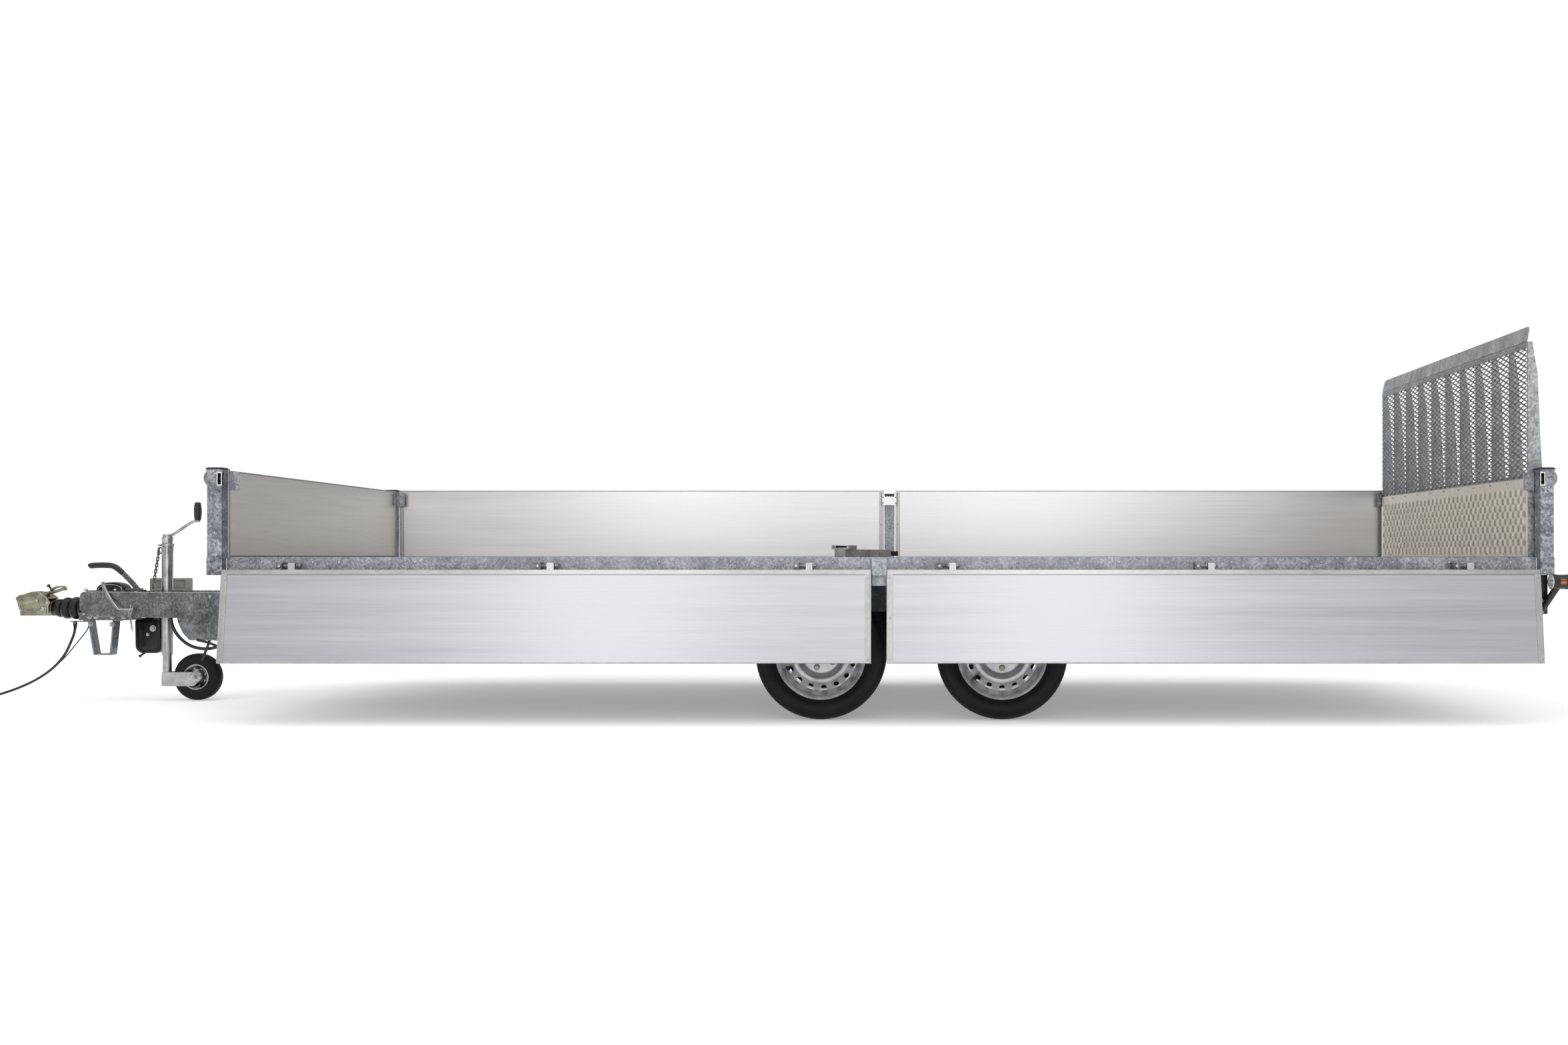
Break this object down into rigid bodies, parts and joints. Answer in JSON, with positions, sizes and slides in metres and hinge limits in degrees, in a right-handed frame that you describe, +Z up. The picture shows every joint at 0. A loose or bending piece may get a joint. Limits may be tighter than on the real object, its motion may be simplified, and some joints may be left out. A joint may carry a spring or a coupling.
{
  "type": "drop-side flatbed trailer with ramp tailgate",
  "caption": "Flatbed road trailer on two sprung axles with hinged dropsides, corner posts, a mesh ramp tailgate, an overrun coupling and a jockey wheel.",
  "frame": {"origin": "centre of the 50 mm ball that the coupling closes on, 418 mm above the ground and 232 mm below the deck's top", "axes": "+X to the rear along the trailer, +Z up, -Y towards the near side, whose dropsides hang down"},
  "size_m": [6.909, 2.184, 1.5613],
  "materials": {
    "plywood": "phenolic-faced plywood",
    "galvanised_frame": "hot-dip galvanised",
    "galvanised_posts": "galvanised, streaked",
    "chassis_steel": "galvanised, weathered",
    "drawbar_steel": "galvanised, weathered",
    "dropside_aluminium": "anodised, satin",
    "headboard_aluminium": "anodised, satin, warm",
    "ramp_aluminium": "mill finish tread plate",
    "ramp_steel": "expanded sheet, galvanised grey",
    "tyre_rubber": "matt",
    "rim_silver": "silver paint, satin",
    "cast_coupling": "yellow passivated, satin",
    "zinc_plated": "bright zinc",
    "lever_black": "black, satin",
    "black_plastic": "moulded, fine grain",
    "grey_plastic": "moulded",
    "boot_rubber": "moulded bellows",
    "lamp_housing": "lamp bodies",
    "cable_sheath": "sheath, satin"
  },
  "bodies": {
    "chassis": {"deck_floor": "plywood", "edge_rails": "galvanised_frame", "rear_rail": "galvanised_frame", "cross_members": "galvanised_frame", "chassis_rails": "chassis_steel", "corner_posts": "galvanised_posts", "stake_sockets": "galvanised_frame", "headboard": "headboard_aluminium", "hinge_brackets": "zinc_plated", "axles": "chassis_steel", "drawbar_beams": "drawbar_steel", "drawbar_stays": "drawbar_steel", "overrun_housing": "drawbar_steel", "drawtube_boot": "boot_rubber", "jockey_clamp": "zinc_plated", "stowage_box": "grey_plastic", "wheel_chock": "black_plastic", "cable_stirrup": "galvanised_frame", "lamp_panel": "galvanised_frame", "rear_lamps": "lamp_housing", "cable_loom": "cable_sheath", "lamp_cable": "cable_sheath", "lamp_cable_coil": "cable_sheath", "lamp_plug": "black_plastic", "breakaway_cable": "cable_sheath", "breakaway_clip": "zinc_plated"},
    "dropside_near_front": {"dropside_near_front": "dropside_aluminium"},
    "dropside_near_rear": {"dropside_near_rear": "dropside_aluminium"},
    "dropside_far_front": {"dropside_far_front": "dropside_aluminium"},
    "dropside_far_rear": {"dropside_far_rear": "dropside_aluminium"},
    "post_latch_near_front": {"post_latch_near_front": "zinc_plated"},
    "post_latch_near_rear": {"post_latch_near_rear": "zinc_plated"},
    "post_latch_far_front": {"post_latch_far_front": "zinc_plated"},
    "post_latch_far_rear": {"post_latch_far_rear": "zinc_plated"},
    "torsion_arm_near_front": {"torsion_arm_near_front": "chassis_steel"},
    "wheel_near_front": {"tyre_near_front": "tyre_rubber", "rim_near_front": "rim_silver"},
    "torsion_arm_far_front": {"torsion_arm_far_front": "chassis_steel"},
    "wheel_far_front": {"tyre_far_front": "tyre_rubber", "rim_far_front": "rim_silver"},
    "torsion_arm_near_rear": {"torsion_arm_near_rear": "chassis_steel"},
    "wheel_near_rear": {"tyre_near_rear": "tyre_rubber", "rim_near_rear": "rim_silver"},
    "torsion_arm_far_rear": {"torsion_arm_far_rear": "chassis_steel"},
    "wheel_far_rear": {"tyre_far_rear": "tyre_rubber", "rim_far_rear": "rim_silver"},
    "ramp": {"ramp_frame": "ramp_aluminium", "ramp_tread_plate": "ramp_aluminium", "ramp_mesh": "ramp_steel", "ramp_toe_plate": "ramp_aluminium"},
    "coupling": {"coupling_head": "cast_coupling"},
    "coupling_handle": {"coupling_handle": "cast_coupling"},
    "handbrake": {"handbrake_lever": "lever_black"},
    "jockey_outer": {"jockey_outer_tube": "zinc_plated"},
    "jockey_leg": {"jockey_inner_tube": "zinc_plated"},
    "jockey_fork": {"jockey_fork": "zinc_plated"},
    "jockey_wheel": {"jockey_wheel": "tyre_rubber"},
    "jockey_crank": {"jockey_crank": "zinc_plated"},
    "stake_near": {"stake_near": "galvanised_posts"},
    "stake_far": {"stake_far": "galvanised_posts"}
  },
  "joints": [
    {"name": "dropside_near_front_hinge", "type": "hinge", "parent": "chassis", "child": "dropside_near_front", "pos_m": [3.9, -1.03, 0.198], "axis": [1, 0, 0], "range_deg": [-173, 0]},
    {"name": "dropside_near_rear_hinge", "type": "hinge", "parent": "chassis", "child": "dropside_near_rear", "pos_m": [3.9, -1.03, 0.198], "axis": [1, 0, 0], "range_deg": [-173, 0]},
    {"name": "dropside_far_front_hinge", "type": "hinge", "parent": "chassis", "child": "dropside_far_front", "pos_m": [3.9, 1.03, 0.198], "axis": [1, 0, 0], "range_deg": [-173, 0]},
    {"name": "dropside_far_rear_hinge", "type": "hinge", "parent": "chassis", "child": "dropside_far_rear", "pos_m": [3.9, 1.03, 0.198], "axis": [1, 0, 0], "range_deg": [-173, 0]},
    {"name": "post_latch_near_front_hinge", "type": "hinge", "parent": "chassis", "child": "post_latch_near_front", "pos_m": [1.2736, -1.005, 0.57], "axis": [0, 1, 0], "range_deg": [0, 35]},
    {"name": "post_latch_near_rear_hinge", "type": "hinge", "parent": "chassis", "child": "post_latch_near_rear", "pos_m": [6.5194, -1.005, 0.57], "axis": [0, 1, 0], "range_deg": [-35, 0]},
    {"name": "post_latch_far_front_hinge", "type": "hinge", "parent": "chassis", "child": "post_latch_far_front", "pos_m": [1.2736, 1.005, 0.57], "axis": [0, 1, 0], "range_deg": [0, 35]},
    {"name": "post_latch_far_rear_hinge", "type": "hinge", "parent": "chassis", "child": "post_latch_far_rear", "pos_m": [6.5194, 1.005, 0.57], "axis": [0, 1, 0], "range_deg": [-35, 0]},
    {"name": "torsion_arm_near_front_swing", "type": "hinge", "parent": "chassis", "child": "torsion_arm_near_front", "pos_m": [3.504, -0.654, -0.103], "axis": [0, 1, 0], "range_deg": [-16, 12], "stiffness_Nm_per_rad": 4000, "springref_deg": 2.86},
    {"name": "wheel_near_front_spin", "type": "hinge", "parent": "torsion_arm_near_front", "child": "wheel_near_front", "pos_m": [3.654, -0.802, -0.156], "axis": [0, 1, 0], "continuous": true},
    {"name": "torsion_arm_far_front_swing", "type": "hinge", "parent": "chassis", "child": "torsion_arm_far_front", "pos_m": [3.504, 0.654, -0.103], "axis": [0, 1, 0], "range_deg": [-16, 12], "stiffness_Nm_per_rad": 4000, "springref_deg": 2.86},
    {"name": "wheel_far_front_spin", "type": "hinge", "parent": "torsion_arm_far_front", "child": "wheel_far_front", "pos_m": [3.654, 0.802, -0.156], "axis": [0, 1, 0], "continuous": true},
    {"name": "torsion_arm_near_rear_swing", "type": "hinge", "parent": "chassis", "child": "torsion_arm_near_rear", "pos_m": [4.229, -0.654, -0.103], "axis": [0, 1, 0], "range_deg": [-16, 12], "stiffness_Nm_per_rad": 4000, "springref_deg": 2.86},
    {"name": "wheel_near_rear_spin", "type": "hinge", "parent": "torsion_arm_near_rear", "child": "wheel_near_rear", "pos_m": [4.379, -0.802, -0.156], "axis": [0, 1, 0], "continuous": true},
    {"name": "torsion_arm_far_rear_swing", "type": "hinge", "parent": "chassis", "child": "torsion_arm_far_rear", "pos_m": [4.229, 0.654, -0.103], "axis": [0, 1, 0], "range_deg": [-16, 12], "stiffness_Nm_per_rad": 4000, "springref_deg": 2.86},
    {"name": "wheel_far_rear_spin", "type": "hinge", "parent": "torsion_arm_far_rear", "child": "wheel_far_rear", "pos_m": [4.379, 0.802, -0.156], "axis": [0, 1, 0], "continuous": true},
    {"name": "ramp_hinge", "type": "hinge", "parent": "chassis", "child": "ramp", "pos_m": [6.455, 0, 0.217], "axis": [0, 1, 0], "range_deg": [0, 132]},
    {"name": "overrun_slide", "type": "slide", "parent": "chassis", "child": "coupling", "axis": [1, 0, 0], "range_m": [0, 0.09], "deforming": ["drawtube_boot"]},
    {"name": "coupling_handle_hinge", "type": "hinge", "parent": "coupling", "child": "coupling_handle", "pos_m": [0.058, 0, 0.048], "axis": [0, 1, 0], "range_deg": [-45, 0]},
    {"name": "handbrake_pull", "type": "hinge", "parent": "chassis", "child": "handbrake", "pos_m": [0.517, -0.055, 0.07], "axis": [0, 1, 0], "range_deg": [0, 50]},
    {"name": "jockey_clamp_slide", "type": "slide", "parent": "chassis", "child": "jockey_outer", "axis": [0, 0, 1], "range_m": [-0.08, 0.12]},
    {"name": "jockey_wind", "type": "slide", "parent": "jockey_outer", "child": "jockey_leg", "axis": [0, 0, 1], "range_m": [-0.15, 0.05]},
    {"name": "jockey_swivel", "type": "hinge", "parent": "jockey_leg", "child": "jockey_fork", "pos_m": [0.623, 0, -0.32], "axis": [0, 0, 1], "range_deg": [-45, 45]},
    {"name": "jockey_wheel_spin", "type": "hinge", "parent": "jockey_fork", "child": "jockey_wheel", "pos_m": [0.765, 0, -0.312], "axis": [0, 1, 0], "continuous": true},
    {"name": "jockey_crank_turn", "type": "hinge", "parent": "jockey_outer", "child": "jockey_crank", "pos_m": [0.623, 0, 0.32], "axis": [0, 0, 1], "continuous": true},
    {"name": "stake_near_lift", "type": "slide", "parent": "chassis", "child": "stake_near", "axis": [0, 0, 1], "range_m": [0, 0.3]},
    {"name": "stake_far_lift", "type": "slide", "parent": "chassis", "child": "stake_far", "axis": [0, 0, 1], "range_m": [0, 0.3]}
  ]
}
